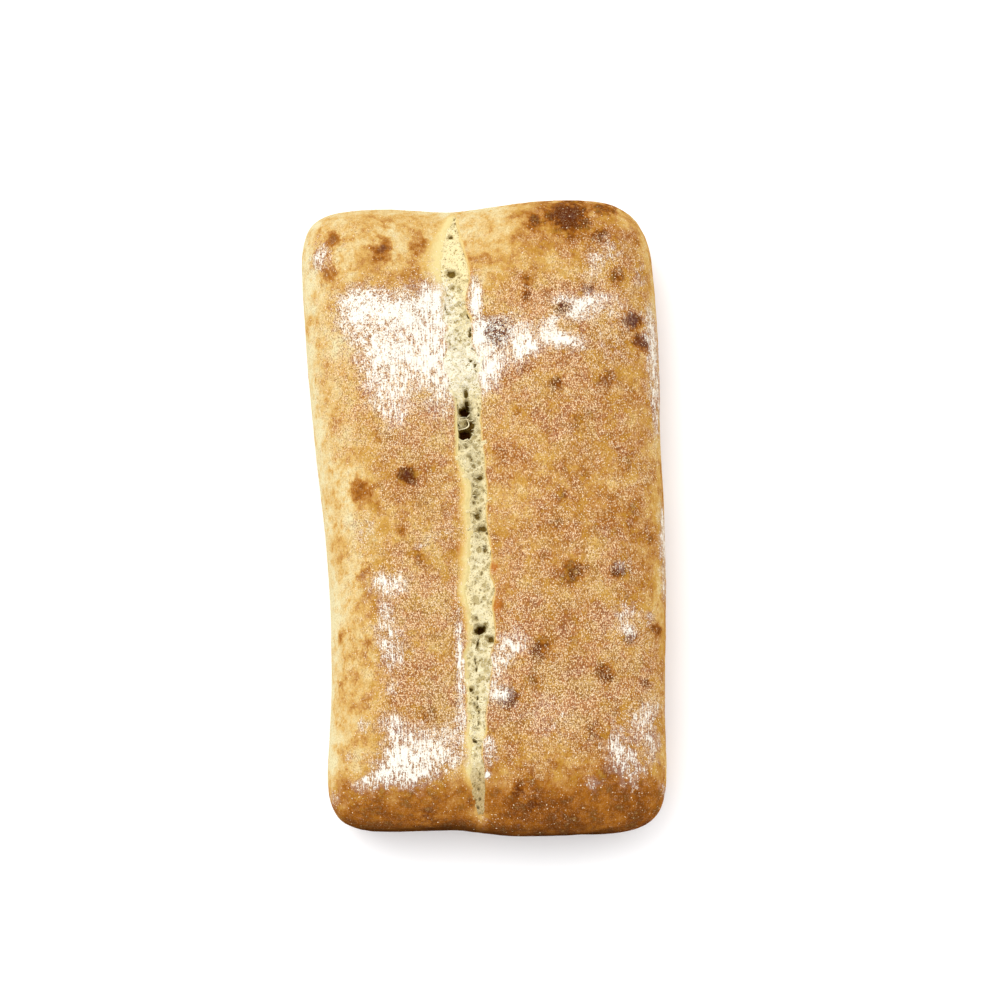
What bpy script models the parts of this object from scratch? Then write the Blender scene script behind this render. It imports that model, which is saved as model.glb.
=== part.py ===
# A ciabatta: one loaf, risen into two low lobes beside a lengthways slash.
# Metres and +Z up. The loaf lies along Y on its flat base, with the slash on top.

import bmesh
import bpy
import numpy as np

MM = 0.001

# Driving sizes of the loaf, in millimetres
LENGTH = 241.5
WIDTH = 135.5
CROWN_HEIGHT = 50.0  # of the lobes between their swellings
RIM_HEIGHT = 23.0  # of the widest line
SHOULDER = 40.0  # from the outline in to where the top starts to fall
SHOULDER_POWER = 2.4
BASE_INSET = 9.0  # from the widest line in to the flat base
BASE_POWER = 2.2
CORNER_POWERS = {(-1, 1): 5.0, (1, 1): 3.3, (-1, -1): 4.3, (1, -1): 4.4}
END_DROP = 5.0  # the crown is lower towards both ends
END_DROP_POWER = 2.0
LOBE_SWELL = 2.2
LOBE_OFFSET = 34.0
LOBE_SPREAD = 17.0
VALLEY_DEPTH = 2.6  # the dip between the lobes
VALLEY_SPREAD = 11.0

# How far the sides are drawn in, each hollow as its size, its middle and its spread along the loaf
LEFT_HOLLOWS = ((8.9, -45.0, 62.0),)
RIGHT_HOLLOWS = ((0.8, 28.0, 12.0), (3.0, -88.0, 36.0), (1.0, 100.0, 18.0))
SIDE_SHIFT_POWER = 1.5  # the sides move, the middle stays

# How far the ends are drawn in: a skew as its size, start and run across, the notch as a hollow
TOP_SKEW = (1.6, -30.0, 60.0)
TOP_NOTCH = (2.4, 1.0, 13.0)
BOTTOM_SKEW = (3.3, -14.0, 30.0)
END_SHIFT_POWER = 3.0

# The slash's line: how far it lies from the middle, and its bends to the right along the loaf
SLASH_OFFSET = -4.9
SLASH_BENDS = ((3.0, -22.0, 26.0), (-4.2, 92.0, 26.0), (-0.8, 22.0, 8.0), (-0.6, -95.0, 15.0))
FOLLOW_START = 8.0  # the surface goes with the slash up to here, and less and less beyond
FOLLOW_RUN = 48.0

# The slash: its width and depth, and how it runs out at both ends
SLASH_HALF_WIDTH = 5.0
SLASH_WIDENINGS = ((-1.8, 3.0, 10.0), (-2.4, -95.0, 18.0), (0.9, 54.0, 5.0), (0.5, -47.0, 5.0))
SLASH_END_WIDTH = 0.35  # of the width, where it runs out
SLASH_DEPTH = 2.6
LEFT_LIP = 2.6  # the skin stretched on the left, sharper on the right
RIGHT_LIP = 1.3
LIP_OUTSIDE = 0.3  # of the lip's width lies beyond the slash
SLASH_TOP_END = 112.0
SLASH_BOTTOM_END = -113.0
SLASH_RUN_OUT = 13.0
SLASH_RIM_FADE = 2.0  # the slash flattens where the top falls to the rim

# Threads of crumb that cross the slash, higher on the right
WEB_PLACES = (69.5, 32.0, 22.0, 17.7, 12.2, -0.5, -7.0, -24.0, -34.0, -55.0, -78.0)
WEB_SLOPE = 0.5
WEB_HEIGHT = 1.3
WEB_THICKNESS = 1.1

# Holes in the crumb: along the loaf, across from the slash's line, half length, half width, depth
HOLE_POWER = 1.5  # steeper walls than a bowl's
HOLE_LIP_FADE = 2.0
HOLES = (
    (104.1, -1.3, 1.3, 1.1, 1.4),
    (89.6, -0.9, 2.0, 2.0, 2.8),
    (83.9, -0.8, 2.4, 1.6, 1.4),
    (65.8, 3.0, 1.6, 1.6, 1.8),
    (57.7, 4.6, 1.6, 1.6, 1.8),
    (54.5, 3.2, 1.8, 1.5, 2.2),
    (44.6, 2.4, 2.2, 1.6, 1.6),
    (35.6, -1.4, 3.1, 2.6, 6.0),
    (28.5, -0.9, 3.6, 3.2, 6.5),
    (10.7, 1.6, 1.6, 1.8, 3.0),
    (2.7, -0.8, 2.6, 1.5, 2.0),
    (-4.0, -0.8, 2.0, 1.7, 2.4),
    (-8.2, 1.4, 1.8, 1.5, 2.6),
    (-16.0, 1.3, 1.8, 1.6, 1.6),
    (-45.8, -0.2, 1.8, 2.0, 5.0),
    (-49.8, 4.0, 1.6, 1.5, 3.6),
    (-68.4, -3.0, 1.4, 1.2, 2.4),
    (-87.1, -0.8, 1.4, 1.1, 2.2),
)

# Blisters on the crust: across, along, radius, height
BLISTER_SHARPNESS = 1.5
BLISTERS = (
    (-59.0, 97.0, 6.0, 1.2),
    (7.0, 65.0, 6.5, 1.5),
    (31.0, 73.0, 4.5, 0.8),
    (34.0, 110.0, 11.0, 0.8),
    (52.0, 86.0, 3.5, 0.8),
    (58.0, 66.0, 6.0, 0.8),
    (48.0, -26.0, 4.0, 1.2),
    (52.0, -50.0, 4.5, 1.1),
    (5.0, -71.0, 4.5, 1.2),
    (-30.0, 12.0, 4.5, 0.7),
    (-23.0, -78.0, 5.5, 0.7),
    (42.0, -64.0, 5.5, 0.7),
)

# Long swellings of the whole skin
SWELLINGS = 14
SWELLING_LENGTHS = (28.0, 75.0)
SWELLING_HEIGHT = 0.45
SWELLING_SEED = 7

# Grid: lines across the slash, over the lobes, round the shoulders and down the sides
SLASH_BAND = 8.0
SLASH_COLUMNS = 14
LOBE_COLUMNS = 3
SHOULDER_COLUMNS = 8
MIDDLE_ROWS = 78
SHOULDER_ROWS = 9
SIDE_RINGS = 6
SMALLEST = 1e-9

CRUST_COLOUR = (0.62, 0.40, 0.17, 1.0)
CRUST_ROUGHNESS = 0.75


def clear_scene():
    for thing in list(bpy.data.objects):
        bpy.data.objects.remove(thing, do_unlink=True)


def bump(value, centre, spread):
    return np.exp(-(((value - centre) / spread) ** 2) / 2)


def ease(value):
    held = np.clip(value, 0.0, 1.0)
    return held * held * (3.0 - 2.0 * held)


def bumps(value, table):
    """The sum of smooth bumps, each with its size, middle and spread."""
    return sum(size * bump(value, middle, spread) for size, middle, spread in table)


def skew(across, size, start, run):
    """Full size on the left, easing to nothing over a run to the right."""
    return size * (1.0 - ease((across - start) / run))


def slash_line(along):
    """Where the slash's middle lies across the loaf."""
    return SLASH_OFFSET + bumps(along, SLASH_BENDS)


def slash_half_width(along):
    end_share = SLASH_END_WIDTH + (1.0 - SLASH_END_WIDTH) * slash_run_out(along)
    return (SLASH_HALF_WIDTH + bumps(along, SLASH_WIDENINGS)) * end_share


def slash_run_out(along):
    """1 along the slash, falling to 0 at its ends."""
    top = ease((SLASH_TOP_END - along) / SLASH_RUN_OUT)
    bottom = ease((along - SLASH_BOTTOM_END) / SLASH_RUN_OUT)
    return top * bottom


def side_shift(along, side):
    """How far the outline is drawn in on the left (-1) or the right (1)."""
    return np.where(side < 0, bumps(along, LEFT_HOLLOWS), -bumps(along, RIGHT_HOLLOWS))


def end_shift(across, side):
    """How far the outline is drawn in at the top (1) or the bottom (-1) end."""
    top = skew(across, *TOP_SKEW) + bumps(across, (TOP_NOTCH,))
    return np.where(side > 0, -top, skew(across, *BOTTOM_SKEW))


def swelling(across, along):
    draw = np.random.default_rng(SWELLING_SEED)
    total = np.zeros_like(across)
    for _ in range(SWELLINGS):
        length = draw.uniform(*SWELLING_LENGTHS)
        angle = draw.uniform(0.0, np.pi)
        phase = draw.uniform(0.0, 2.0 * np.pi)
        run = across * np.cos(angle) + along * np.sin(angle)
        total += np.sin(2.0 * np.pi * run / length + phase)
    return total * SWELLING_HEIGHT / np.sqrt(SWELLINGS / 2.0)


def edge_closeness(coordinate, half_size):
    """0 over the crown, rising to 1 at the outline."""
    return np.clip((np.abs(coordinate) - (half_size - SHOULDER)) / SHOULDER, 0.0, 1.0)


def corner_power(column, row):
    power = np.empty_like(column)
    for (x_side, y_side), value in CORNER_POWERS.items():
        here = (np.sign(column) * x_side >= 0) & (np.sign(row) * y_side >= 0)
        power[here] = value
    return power


def plan(column, row, inset):
    """The point over the base of a nominal column and row, and how close it is to the outline."""
    near_side = edge_closeness(column, WIDTH / 2)
    near_end = edge_closeness(row, LENGTH / 2)
    power = corner_power(column, row)
    nearest = np.maximum(near_side, near_end)
    rounded = (near_side**power + near_end**power) ** (1.0 / power)
    squeeze = nearest / np.maximum(rounded, SMALLEST) * (1.0 - inset / SHOULDER)
    across = np.where(
        near_side > 0.0, np.sign(column) * (WIDTH / 2 - SHOULDER + SHOULDER * near_side * squeeze), column
    )
    along = np.where(
        near_end > 0.0, np.sign(row) * (LENGTH / 2 - SHOULDER + SHOULDER * near_end * squeeze), row
    )
    side_share = (np.abs(across) / (WIDTH / 2)) ** SIDE_SHIFT_POWER
    end_share = (np.abs(along) / (LENGTH / 2)) ** END_SHIFT_POWER
    shifted = across + side_shift(along, np.sign(across)) * side_share
    along = along + end_shift(across, np.sign(along)) * end_share
    follow = 1.0 - ease((np.abs(across) - FOLLOW_START) / FOLLOW_RUN)
    return shifted + slash_line(along) * follow, along, nearest


def slash_depth(across, along):
    """How far the crumb in the slash lies under the crust beside it."""
    off_line = across - slash_line(along)
    half_width = slash_half_width(along)
    lip = np.where(off_line < 0.0, LEFT_LIP, RIGHT_LIP)
    inside = ease((half_width + LIP_OUTSIDE * lip - np.abs(off_line)) / lip) * slash_run_out(along)
    depth = SLASH_DEPTH * inside
    for place in WEB_PLACES:
        thread = bump(along - WEB_SLOPE * off_line, place, WEB_THICKNESS)
        depth = depth - WEB_HEIGHT * thread * inside
    for place, offset, half_length, half_hole, deep in HOLES:
        spread = ((along - place) / half_length) ** 2 + ((off_line - offset) / half_hole) ** 2
        hole = np.exp(-(spread**HOLE_POWER) / HOLE_POWER)
        depth = depth + deep * hole * ease(inside * HOLE_LIP_FADE)
    return depth


def top_height(across, along, nearest):
    off_line = across - slash_line(along)
    crown = CROWN_HEIGHT - END_DROP * (np.abs(along) / (LENGTH / 2)) ** END_DROP_POWER
    crown = crown + LOBE_SWELL * bump(np.abs(off_line), LOBE_OFFSET, LOBE_SPREAD)
    crown = crown - VALLEY_DEPTH * bump(off_line, 0.0, VALLEY_SPREAD)
    crown = crown + swelling(across, along)
    for place_across, place_along, radius, height in BLISTERS:
        away = ((across - place_across) ** 2 + (along - place_along) ** 2) / radius**2
        crown = crown + height * np.exp(-away * BLISTER_SHARPNESS)
    fall = (1.0 - nearest**SHOULDER_POWER) ** (1.0 / SHOULDER_POWER)
    crown = crown - slash_depth(across, along) * ease(fall * SLASH_RIM_FADE)
    return RIM_HEIGHT + (crown - RIM_HEIGHT) * fall


def shoulder_lines(half_size, count):
    """Nominal lines over a shoulder, closer together where the top falls steeply."""
    turn = np.linspace(0.0, np.pi / 2, count + 1)[1:]
    return half_size - SHOULDER + SHOULDER * np.sin(turn) ** (2.0 / SHOULDER_POWER)


def mirrored_lines(half_lines):
    return np.concatenate([-half_lines[::-1], half_lines[half_lines > 0.0]])


def column_lines():
    band = np.linspace(0.0, SLASH_BAND, SLASH_COLUMNS // 2 + 1)
    lobe = np.linspace(SLASH_BAND, WIDTH / 2 - SHOULDER, LOBE_COLUMNS + 1)[1:]
    return mirrored_lines(np.concatenate([band, lobe, shoulder_lines(WIDTH / 2, SHOULDER_COLUMNS)]))


def row_lines():
    middle = np.linspace(0.0, LENGTH / 2 - SHOULDER, MIDDLE_ROWS // 2 + 1)
    return mirrored_lines(np.concatenate([middle, shoulder_lines(LENGTH / 2, SHOULDER_ROWS)]))


def grid_with_rings(columns, rows):
    """A grid for the top, rings of faces for the sides and one face for the base.

    Each vertex keeps its nominal column and row, and how far down the side it is from 0 to 1."""
    bm = bmesh.new()
    column_of = bm.verts.layers.float.new("column")
    row_of = bm.verts.layers.float.new("row")
    drop_of = bm.verts.layers.float.new("drop")
    bmesh.ops.create_grid(bm, x_segments=len(columns) - 1, y_segments=len(rows) - 1, size=1.0)
    column_steps = np.linspace(-1.0, 1.0, len(columns))
    row_steps = np.linspace(-1.0, 1.0, len(rows))
    for vert in bm.verts:
        vert[column_of] = np.interp(vert.co.x, column_steps, columns)
        vert[row_of] = np.interp(vert.co.y, row_steps, rows)
    edges = [edge for edge in bm.edges if edge.is_boundary]
    for ring in range(SIDE_RINGS):
        made = bmesh.ops.extrude_edge_only(bm, edges=edges)["geom"]
        edges = [item for item in made if isinstance(item, bmesh.types.BMEdge) and item.is_boundary]
        for vert in made:
            if isinstance(vert, bmesh.types.BMVert):
                vert[drop_of] = (ring + 1) / SIDE_RINGS
    bmesh.ops.edgeloop_fill(bm, edges=edges)
    return bm


def layer_values(bm, name):
    layer = bm.verts.layers.float[name]
    return np.array([vert[layer] for vert in bm.verts])


def loaf_points(column, row, drop):
    turn = drop * np.pi / 2
    inset = BASE_INSET * (1.0 - np.abs(np.cos(turn)) ** (2.0 / BASE_POWER))
    across, along, nearest = plan(column, row, inset)
    top = top_height(across, along, nearest)
    side = RIM_HEIGHT * (1.0 - np.sin(turn) ** (2.0 / BASE_POWER))
    height = np.where(drop > 0.0, side, top)
    points = np.stack([across, along, height], axis=1)
    middle = (points.min(axis=0) + points.max(axis=0)) / 2
    points[:, :2] -= middle[:2]
    return points * MM


def crust_material():
    material = bpy.data.materials.new("crust")
    material.use_nodes = True
    shader = material.node_tree.nodes["Principled BSDF"]
    shader.inputs["Base Color"].default_value = CRUST_COLOUR
    shader.inputs["Roughness"].default_value = CRUST_ROUGHNESS
    return material


def make_loaf():
    bm = grid_with_rings(column_lines(), row_lines())
    values = [layer_values(bm, name) for name in ("column", "row", "drop")]
    for vert, point in zip(bm.verts, loaf_points(*values)):
        vert.co = point
    bmesh.ops.recalc_face_normals(bm, faces=bm.faces)
    bmesh.ops.triangulate(bm, faces=bm.faces)
    mesh = bpy.data.meshes.new("loaf")
    bm.to_mesh(mesh)
    bm.free()
    mesh.shade_smooth()
    loaf = bpy.data.objects.new("loaf", mesh)
    loaf.data.materials.append(crust_material())
    bpy.context.scene.collection.objects.link(loaf)
    return loaf


clear_scene()
make_loaf()
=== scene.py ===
import math

import bmesh
import bpy
import numpy as np
from mathutils import Matrix, Vector


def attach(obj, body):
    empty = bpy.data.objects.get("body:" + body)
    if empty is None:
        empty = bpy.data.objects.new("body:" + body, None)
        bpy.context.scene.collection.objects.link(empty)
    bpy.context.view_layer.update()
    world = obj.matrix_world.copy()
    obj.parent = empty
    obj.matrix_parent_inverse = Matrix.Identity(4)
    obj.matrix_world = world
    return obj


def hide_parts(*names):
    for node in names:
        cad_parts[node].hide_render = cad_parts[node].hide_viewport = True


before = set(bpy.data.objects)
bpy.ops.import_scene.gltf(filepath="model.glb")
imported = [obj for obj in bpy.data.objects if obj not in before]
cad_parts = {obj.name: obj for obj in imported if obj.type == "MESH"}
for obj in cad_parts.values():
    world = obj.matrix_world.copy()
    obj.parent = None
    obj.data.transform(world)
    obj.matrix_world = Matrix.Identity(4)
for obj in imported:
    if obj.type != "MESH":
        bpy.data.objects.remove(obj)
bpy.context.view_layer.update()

mm = 0.001
print("frame loaded")


# small helpers, all on whole arrays of points in millimetres

def bump(value, centre, spread):
    return np.exp(-(((value - centre) / spread) ** 2) / 2)


def bumps(value, rows):
    # rows of centre, spread and height
    return sum(height * bump(value, centre, spread) for centre, spread, height in rows)


def unit(vectors):
    return vectors / np.linalg.norm(vectors, axis=-1, keepdims=True)


def ease(value):
    held = np.clip(value, 0, 1)
    return held * held * (3 - 2 * held)


def fade(value, start, over):
    # 0 up to the start, then rising to 1
    return ease((value - start) / over)


noiseCells = 64
noiseTable = np.random.default_rng(5).random((noiseCells,) * 3) * 2 - 1


def softNoise(points, size, shift=0):
    # smooth noise from -1 to 1, size may differ along X, Y and Z
    place = points / np.asarray(size) + shift
    cell = np.floor(place).astype(int)
    part = ease(place - cell)
    total = np.zeros(len(points))
    for corner in np.ndindex(2, 2, 2):
        weight = np.prod(np.where(corner, part, 1 - part), axis=1)
        at = (cell + corner) % noiseCells
        total += weight * noiseTable[at[:, 0], at[:, 1], at[:, 2]]
    return total


def noises(points, layers):
    # layers of strength, size and shift
    return sum(strength * softNoise(points, size, shift) for strength, size, shift in layers)


light = {
    "world": 1.35,
    "key": 12,
    "keySize": 1.2,
    "keyPlace": (-0.55, 0.55, 1.5),
    "onTop": 1.70,             # how much brighter than its own colour the loaf's top looks
}


def seen(*colour):
    # a colour as the lit loaf shows it, from 0 to 255, made into what a shader takes
    values = [value / 255 for value in colour]
    values = [value / 12.92 if value <= 0.04045 else ((value + 0.055) / 1.055) ** 2.4 for value in values]
    return (*(value / light["onTop"] for value in values), 1.0)


# the loaf's form, in millimetres; its bends and the slash's are rows of place, spread and size

loafForm = {
    "length": 241.5,
    "width": 135.5,
    "crownHeight": 50,
    "rimHeight": 23,
    "shoulder": 40,
    "shoulderPower": 2.4,
    "baseInset": 9,
    "basePower": 2.2,
    "cornerPowers": {(-1, 1): 5, (1, 1): 3.3, (-1, -1): 4.3, (1, -1): 4.4},
    "leftBends": ((-45, 62, 8.9),),
    "rightBends": ((28, 12, 0.8), (-88, 36, 3), (100, 18, 1)),
    "farBends": ((1, 13, 2.4),),
    "farSlant": (1.6, -30, 60),        # how far the end leans in, from where, over how much
    "frontSlant": (3.3, -14, 30),
    "sidePower": 1.5,                  # how the bends fade towards the middle
    "endPower": 3,
    "askewUntil": (8, 48),             # the crown follows the slash up to here and lets go over this
    "endDrop": 5,
    "lobeSwell": 2.2,
    "lobeOffset": 34,
    "lobeSpread": 17,
    "valleyDepth": 2.6,
    "valleySpread": 11,
    "swellings": 14,
    "swellingLengths": (28, 75),
    "swellingHeight": 0.45,
    "swellingSeed": 7,
    "blisterTightness": 1.5,
}
halfWidth, halfLength = loafForm["width"] / 2, loafForm["length"] / 2
shoulder, rim = loafForm["shoulder"], loafForm["rimHeight"]

slash = {
    "nominalHalf": 5,
    "offset": -4.9,
    "rightward": ((-22, 26, 3),),
    "leftward": ((92, 26, 4.2), (22, 8, 0.8), (-95, 15, 0.6)),
    "topEnd": 117,
    "bottomEnd": -116,
    "runOut": 5,
    "raggedness": 0.35,
    "wander": ((0.9, 2.6, 3.7), (0.6, 1.1, 8.1)),
    "sideApart": 9,                    # keeps the left and right edges' noise apart
    "narrowest": 0.05,
}

# how far the torn edges stand off the slash's line: along, to the left, to the right
slashMargins = (
    (-116, 0.3, 0.5), (-113, 1.2, 2), (-110, 1.3, 2.4), (-107, 1.4, 2.6), (-104, 1.5, 2.7), (-101, 2, 2.8),
    (-96, 1.9, 3), (-93, 1.3, 1.8), (-90, 1.2, 1.9), (-87, 2, 2.4), (-85, 2.2, 3.4), (-79, 2.6, 3.3),
    (-76, 3.1, 3.5), (-73, 3, 3.8), (-70, 3.1, 4.3), (-67, 3.5, 4.2), (-64, 3.9, 4.7), (-61, 4.2, 5.2),
    (-58, 4.3, 4.8), (-56, 5, 4.5), (-53, 3.5, 5.2), (-50, 2.9, 5.7), (-44, 3.2, 5.5), (-41, 3.5, 4.8),
    (-38, 3.9, 4.3), (-35, 4.9, 4.9), (-32, 5.5, 5.1), (-29, 5.2, 4.5), (-26, 4.4, 3.1), (-23, 4, 3.4),
    (-20, 4.2, 4.1), (-17, 3.8, 3.9), (-14, 3.3, 3.8), (-12, 2.7, 3.5), (-6, 2.8, 3.1), (-3, 2.9, 3.3),
    (0, 3, 3.6), (2.5, 2.3, 4.3), (6, 1.6, 4.5), (9, 1.3, 4.8), (11, 2.8, 4.6), (14, 3.2, 5.1), (17, 4, 5.5),
    (20, 4.3, 5.4), (24, 4.2, 5), (29, 4.2, 5.1), (33, 4.2, 4.7), (39, 4.1, 5.3), (42, 5.3, 5.5),
    (44, 6.2, 5.7), (47, 4.8, 5.5), (51, 5.8, 5), (54, 5.6, 5.4), (57, 5.8, 6.5), (60, 4.7, 4.1),
    (63, 4.7, 4.3), (66, 3.9, 4.7), (69, 3.5, 5.1), (71, 4.9, 5.3), (74, 5.1, 3.8), (78, 4.8, 3.6),
    (81, 3.3, 4.1), (84, 3.5, 5.1), (87, 4.2, 6), (90, 4.3, 6), (94, 4.2, 5.4), (97, 4.2, 4.6),
    (101, 4.2, 3.7), (104, 3.8, 2.5), (107, 3, 2), (111, 1.8, 1.3), (114, 0.9, 0.4), (117, 0.2, 0.1),
)

# pale skin that stretched beside the slash: along, width to the left
skinWidths = (
    (-116, 1), (-104, 1.6), (-96, 2.6), (-88, 2.5), (-80, 1), (-60, 0.8), (-40, 2), (-30, 2.6), (-20, 2.6),
    (-12, 2.2), (-3, 2.4), (9, 2.6), (13, 1.4), (24, 0.6), (60, 0.6), (78, 0.8), (86, 3.6), (94, 4.6),
    (101, 3.4), (108, 2.2), (116, 1.4),
)

# blisters on the crust: across, along, radius, height
blisters = (
    (-59, 97, 6, 1.2), (7, 65, 6.5, 1.5), (31, 73, 4.5, 0.8), (34, 110, 11, 0.8), (52, 86, 3.5, 0.8),
    (58, 66, 6, 0.8), (48, -26, 4, 1.2), (52, -50, 4.5, 1.1), (5, -71, 4.5, 1.2), (-30, 12, 4.5, 0.7),
    (-23, -78, 5.5, 0.7), (42, -64, 5.5, 0.7),
)


def slashLine(along):
    return slash["offset"] + bumps(along, slash["rightward"]) - bumps(along, slash["leftward"])


def slashRunOut(along):
    top = ease((slash["topEnd"] - along) / slash["runOut"])
    bottom = ease((along - slash["bottomEnd"]) / slash["runOut"])
    return top * bottom


def readTable(table, along, column):
    rows = np.array(table)
    return np.interp(along, rows[:, 0], rows[:, column])


def tornEdge(along, side):
    # the edge's distance from the slash's line on the left (below 0) or the right
    return np.where(side < 0, readTable(slashMargins, along, 1), readTable(slashMargins, along, 2))


def raggedEdge(along, side):
    line = np.stack([along, side * slash["sideApart"], np.zeros_like(along)], axis=1)
    wander = slash["raggedness"] * noises(line, slash["wander"]) * slashRunOut(along)
    return np.maximum(tornEdge(along, side) + wander, slash["narrowest"])


def sideShift(along, side):
    return np.where(side < 0, bumps(along, loafForm["leftBends"]), -bumps(along, loafForm["rightBends"]))


def slant(across, depth, start, over):
    return depth * (1 - fade(across, start, over))


def endShift(across, side):
    far = slant(across, *loafForm["farSlant"]) + bumps(across, loafForm["farBends"])
    return np.where(side > 0, -far, slant(across, *loafForm["frontSlant"]))


def swelling(across, along):
    draw = np.random.default_rng(loafForm["swellingSeed"])
    total = np.zeros_like(across)
    for _ in range(loafForm["swellings"]):
        length = draw.uniform(*loafForm["swellingLengths"])
        angle = draw.uniform(0, np.pi)
        phase = draw.uniform(0, 2 * np.pi)
        total += np.sin(2 * np.pi * (across * np.cos(angle) + along * np.sin(angle)) / length + phase)
    return total * loafForm["swellingHeight"] / np.sqrt(loafForm["swellings"] / 2)


def edgeCloseness(coordinate, halfSize):
    # 0 over the crown, rising to 1 at the outline
    return np.clip((np.abs(coordinate) - (halfSize - shoulder)) / shoulder, 0, 1)


def plan(column, row, inset):
    # the place over the base of a nominal column and row, and how close it is to the outline
    nearSide, nearEnd = edgeCloseness(column, halfWidth), edgeCloseness(row, halfLength)
    power = np.empty_like(column)
    for (xSide, ySide), value in loafForm["cornerPowers"].items():
        power[(np.sign(column) * xSide >= 0) & (np.sign(row) * ySide >= 0)] = value
    nearest = np.maximum(nearSide, nearEnd)
    rounded = (nearSide**power + nearEnd**power) ** (1 / power)
    squeeze = nearest / np.maximum(rounded, 1e-9) * (1 - inset / shoulder)

    def squeezed(place, near, half):
        return np.where(near > 0, np.sign(place) * (half - shoulder + shoulder * near * squeeze), place)

    across, along = squeezed(column, nearSide, halfWidth), squeezed(row, nearEnd, halfLength)
    outward, endward = np.abs(across) / halfWidth, np.abs(along) / halfLength
    shifted = across + sideShift(along, np.sign(across)) * outward ** loafForm["sidePower"]
    along = along + endShift(across, np.sign(along)) * endward ** loafForm["endPower"]
    start, over = loafForm["askewUntil"]
    followed = shifted + slashLine(along) * (1 - fade(np.abs(across), start, over))
    return followed, along, nearest


def fallOff(nearest):
    power = loafForm["shoulderPower"]
    return (1 - nearest**power) ** (1 / power)


def crownHeight(across, along):
    # the top without its slash
    offLine = across - slashLine(along)
    crown = loafForm["crownHeight"] - loafForm["endDrop"] * (np.abs(along) / halfLength) ** 2
    crown += loafForm["lobeSwell"] * bump(np.abs(offLine), loafForm["lobeOffset"], loafForm["lobeSpread"])
    crown -= loafForm["valleyDepth"] * bump(offLine, 0, loafForm["valleySpread"])
    crown += swelling(across, along)
    for acrossAt, alongAt, radius, height in blisters:
        away = ((across - acrossAt) ** 2 + (along - alongAt) ** 2) / radius**2
        crown += height * np.exp(-away * loafForm["blisterTightness"])
    return crown


def outlineMiddle():
    # the frame's origin is the middle of the outline's box
    run = np.linspace(-1, 1, 2001)
    end = np.ones_like(run)
    column = halfWidth * np.concatenate([run, run, -end, end])
    row = halfLength * np.concatenate([-end, end, run, run])
    across, along, _ = plan(column, row, 0)
    return np.array([(across.min() + across.max()) / 2, (along.min() + along.max()) / 2, 0])


middle = outlineMiddle()


# what the oven and the flour left on the crust, in millimetres

# brown spots: across, along, radius, strength
brownSpots = (
    (-55, 104, 3.4, 1.1), (-57, 91, 3.6, 1.1), (-59, 97, 4, 0.8), (-36, 99, 4.2, 1.15), (-21, 99.5, 3.8, 1.1),
    (-24, 91, 3, 0.4), (34, 111, 8, 1.1), (22, 108, 4, 0.7), (49, 115, 5, 0.6), (46, 102, 3.2, 0.6),
    (52, 86, 3, 0.9), (41, 81, 2.6, 0.9), (18, 84, 2.2, 0.8), (17.5, 78, 2.4, 0.9), (6, 65, 6, 1.6),
    (31.5, 73.5, 3.4, 1.35), (57, 69, 3.8, 1.25), (60.5, 61, 3.8, 1.2), (-18, 54, 2.6, 0.5),
    (-42, 64, 3, 0.5), (16, 50, 2.6, 0.6), (28, 44, 3, 0.9), (47, 46, 3.2, 0.8), (36, 31, 3.4, 0.4),
    (5, 18, 3.4, 0.4), (29, 3, 3.8, 0.35), (-29, 11.5, 3.2, 1.1), (-46, 6, 4.8, 1.05), (-31, -10, 1.8, 0.8),
    (-25, -20, 3.4, 0.5), (-46, -25, 3.4, 0.35), (32, -27, 5, 0.65), (48, -26, 3.2, 1), (-55, -46, 2.3, 0.8),
    (-55, -64, 2.4, 0.4), (62, -47, 2.2, 0.9), (52, -51, 2.8, 0.8), (19, -55, 4.6, 0.85), (17, -66, 3.2, 0.6),
    (42, -64, 4, 1), (57, -67, 2, 0.7), (6.5, -72, 3.6, 1.2), (-23, -78, 4, 0.6), (-34, -82, 3.4, 0.5),
    (9, -105, 2.8, 0.6), (23, -95, 3.4, 0.4), (14, -111, 2.4, 0.5), (-8, -109, 2, 0.5), (-24, -114, 3, 0.5),
    (-10, -31, 1.6, 0.5), (-12, -17, 1.8, 0.4), (-13, -74, 1.8, 0.6), (3, -23, 1.6, 0.6), (5, -38, 1.6, 0.5),
    (-38, 26, 3, 0.3), (14, 34, 3.4, 0.3), (52, 14, 3, 0.3), (24, -8, 3.6, 0.3), (-44, -50, 3, 0.3),
    (38, -84, 4, 0.3),
)

# orange-brown rims beside the slash: across, along, spread across, spread along, strength
rustSpots = (
    (1.9, -15.5, 1, 1.4, 0.5), (2.4, -23.1, 1.5, 2, 1), (3.1, -37.9, 1.6, 2.6, 0.9), (5.5, -31, 2.5, 4, 0.3),
    (-9.9, -16.4, 0.9, 3.2, 0.9), (-9.2, -29.9, 0.8, 3.2, 0.7), (-12.3, -36.2, 1.3, 1.8, 0.6),
    (-3, 88.4, 0.8, 2.6, 0.7), (-4, 97.9, 0.8, 3, 0.6), (-9.6, -44, 0.8, 2.4, 0.5), (-10.4, -2, 0.9, 3, 0.4),
    (-3, 66, 0.8, 1.6, 0.5), (-12.6, 16, 1, 4, 0.4), (0.4, 6, 0.8, 3, 0.3), (3.6, -45, 1, 2, 0.4),
    (-9.8, -57, 0.9, 2, 0.3),
)

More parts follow.
